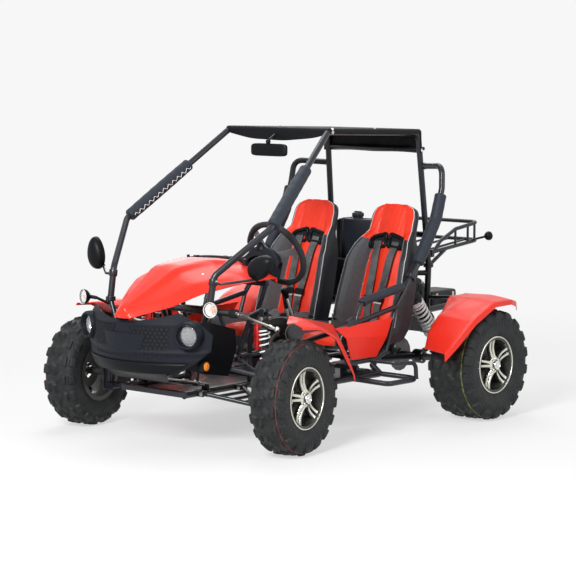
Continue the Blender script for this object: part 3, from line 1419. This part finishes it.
def seat_point(i, u, rise):
    y, z, half = SEAT_LINE[i]
    return Vector((half * u, y, z)) + rise * seat_normal(i)


def seat(side):
    """A bucket seat: crowned centre panels, a channel beside each and raised bolsters."""
    across = (-1.0, -0.90, -0.74, -0.52, 0.0, 0.52, 0.74, 0.90, 1.0)
    rises = (-0.012, 0.046, 0.046, 0.000, 0.014, 0.000, 0.046, 0.046, -0.012)
    rows = []
    for i, (y, z, half) in enumerate(SEAT_LINE):
        depth = min(1.0, max(0.35, (half - 0.10) / 0.10))
        channel = 0.006 if i in (4, 8, 10) else 0.0
        row = []
        for u, rise in zip(across, rises):
            lift = rise * depth if abs(u) > 0.7 else rise - channel
            row.append(seat_point(i, u, lift) + Vector((side * SEAT_X, 0, 0)))
        rows.append(row)
    shell = sheet(rows, SEAT_THICKNESS, -1.0)
    pieces = [shell]
    low = SEAT_RAIL_Z + SEAT_GAP
    for x in SEAT_RAILS_X:
        pieces.append(box((0.026, 0.225, 0.012), (side * x, 0.0725, low + 0.006)))
        for y, top in ((-0.015, 0.430), (0.160, 0.402)):
            pieces.append(box((0.018, 0.040, top - low - 0.006), (side * x, y, (top + low + 0.006) / 2)))
    slots = []
    for u in (-1, 1):
        at = Vector((side * SEAT_X + u * 0.058, 0.470, 0.872))
        slots.append(box((0.060, 0.20, 0.020), at))
    return cut(fused(pieces), slots)


def strap(points, width, thickness=0.003):
    """A flat strap through points that each give a place and the way it faces."""
    rows = []
    for i, (at, facing) in enumerate(points):
        before, after = points[max(i - 1, 0)][0], points[min(i + 1, len(points) - 1)][0]
        across = (after - before).cross(facing).normalized() * width / 2
        rows.append([at - across, at + across])
    return sheet(rows, thickness, 0.0)


def harness(side):
    """Two shoulder straps and a lap strap that meet at the buckle."""
    lifts = {5: 0.0315, 6: 0.0225}
    pieces = []
    middle = Vector((side * SEAT_X, 0, 0))
    for hand in (-1, 1):
        points = []
        for i in (10, 9, 8, 7, 6, 5):
            share = (i - 5) / 5
            x = hand * (0.010 + 0.048 * share)
            y, z, _ = SEAT_LINE[i]
            lift = lifts.get(i, 0.0152)
            points.append((Vector((x, y, z)) + lift * seat_normal(i) + middle, seat_normal(i)))
        pieces.append(strap(points, 0.044))
        normal = seat_normal(5)
        y, z, _ = SEAT_LINE[5]
        start = Vector((hand * 0.008, y, z)) + (lifts[5] + 0.001) * normal + middle
        lap = [(start, normal), (start + Vector((hand * 0.085, 0.004, 0.002)), normal)]
        pieces.append(strap(lap, 0.044))
    y, z, _ = SEAT_LINE[5]
    normal = seat_normal(5)
    turn = along(normal)
    pieces.append(box((0.062, 0.060, 0.018), Vector((0, y, z)) + (lifts[5] + 0.006) * normal + middle, turn))
    return fused(pieces)


for side, hand in SIDES:
    slide = pivot("seat_slide_" + hand, (side * SEAT_X, 0.0, SEAT_RAIL_Z))
    part(seat(side), "seat_" + hand, VINYL, slide)
    part(harness(side), "harness_" + hand, WEBBING, slide)


# Fuel tank and its cap

TANK_TOP_Z = 0.968
CAP_AT = Vector((-0.085, TANK_Y, TANK_TOP_Z))


def fuel_tank():
    height = TANK_TOP_Z - TANK_BOTTOM_Z
    centre = Vector((0.0, TANK_Y, TANK_BOTTOM_Z + height / 2))
    shell = box((0.400, 0.100, height), centre, round_off=0.018)
    return fused([shell, rod(CAP_AT - Vector((0, 0, 0.01)), CAP_AT + Vector((0, 0, 0.008)), 0.027, 12)])


def fuel_cap():
    low = CAP_AT + Vector((0, 0, 0.008 + SEAT_GAP))
    skirt = [(0.0, 0.022), (0.024, 0.022), (0.030, 0.017), (0.030, 0.0), (0.0, 0.0)]
    cap = turned(skirt, low, (0, 0, 1), 12)
    return fused([cap, box((0.044, 0.009, 0.008), low + Vector((0, 0, 0.024)))])


part(fuel_tank(), "fuel_tank", BLACK_PLASTIC)
part(fuel_cap(), "fuel_cap", BLACK_PLASTIC, pivot("fuel_cap_axis", CAP_AT))


# Engine with its transmission cover, airbox and exhaust


def engine():
    """Crankcase on the cross tubes, finned cylinder, round belt cover, airbox and silencer."""
    pieces = [box((0.300, 0.330, 0.190), (0.0, 0.720, 0.560), round_off=0.020)]
    for y, z in ((0.480, 0.4420), (ENGINE_REAR_Y, 0.5145)):
        seat_z = z + 0.012 + SEAT_GAP
        pieces.append(box((0.220, 0.050, 0.024), (0.0, y, seat_z + 0.012)))
        pieces.append(box((0.180, 0.120, 0.040), (0.0, y + (0.050 if y < 0.7 else -0.070), seat_z + 0.030)))
    pieces.append(box((0.100, 0.100, 0.100), (-0.060, 0.930, 0.620)))
    for i in range(4):
        pieces.append(box((0.128, 0.006, 0.128), (-0.060, 0.895 + 0.024 * i, 0.620)))
    pieces.append(rod((0.140, 0.720, 0.585), (0.250, 0.720, 0.585), 0.085, 14))
    pieces.append(rod((0.240, 0.720, 0.585), (0.262, 0.720, 0.585), 0.062, 12))
    pieces.append(box((0.150, 0.220, 0.090), (0.170, 0.930, 0.640), round_off=0.012))
    pieces.append(tube([(-0.100, 0.960, 0.600), (-0.150, 1.010, 0.580), (-0.240, 1.000, 0.600)], 0.016, 0.03))
    pieces.append(rod((-0.235, 0.820, 0.640), (-0.235, 1.080, 0.640), 0.048, 10))
    pieces.append(rod((-0.235, 1.060, 0.640), (-0.235, 1.105, 0.628), 0.017, 8))
    return fused(pieces)


part(engine(), "engine", CAST)


# Luggage rack over the engine

RACK_REAR_Y = 1.182
RACK_TUBE = 0.010
RACK_SHOE = 0.006
# The rear rails climb to 0.520 at their ends, and pass under the rack's shoes a little lower
REAR_RAIL_TOP_Z = 0.5168 + FRAME_TUBE


def rear_rack():
    top = [(0.300, 0.835, 0.850), (0.300, 0.980, 0.910), (0.300, RACK_REAR_Y, 0.935)]
    low = [(0.300, HOOP_FOOT.y + 0.034, 0.800), (0.300, 0.820, 0.806), (0.300, RACK_REAR_Y, 0.840)]
    strut = [(0.300, 1.080, 0.832), (KICK_X, 1.000, 0.536)]
    pieces = []
    for line in (top, low):
        whole = line + [(-x, y, z) for x, y, z in reversed(line)]
        pieces.append(tube(whole, RACK_TUBE, 0.0, 0))
    pieces += both(strut, RACK_TUBE, 0.0, 0)
    for side in (1, -1):
        pieces.append(rod((side * 0.300, 0.842, 0.852), (side * 0.300, 0.790, 0.799), RACK_TUBE, 6))
        pieces.append(rod((side * 0.300, 1.090, 0.832), (side * 0.300, 1.090, 0.924), 0.008, 6))
        pieces.append(rod((side * 0.270, 1.133, 0.836), (side * 0.400, 1.133, 0.869), 0.006, 6))
        pieces.append(ball((side * 0.400, 1.133, 0.869), 0.024, rings=4, sides=8))
        clamp_y = HOOP_FOOT.y - 0.006 + CAGE_TUBE + SEAT_GAP + 0.0124
        pieces.append(box((0.040, 0.024, 0.040), (side * 0.312, clamp_y, 0.800)))
        shoe_z = REAR_RAIL_TOP_Z + SEAT_GAP + RACK_SHOE / 2
        pieces.append(box((0.030, 0.040, RACK_SHOE), (side * KICK_X, ENGINE_REAR_Y, shoe_z)))
    for x in (-0.11, 0.11):
        pieces.append(rod((x, 0.815, 0.800), (x, RACK_REAR_Y, 0.838), 0.007, 6))
    pieces.append(rod((-0.300, 0.815, 0.806), (0.300, 0.815, 0.806), 0.008, 6))
    return fused(pieces)


part(rear_rack(), "rear_rack", BLACK_PAINT)
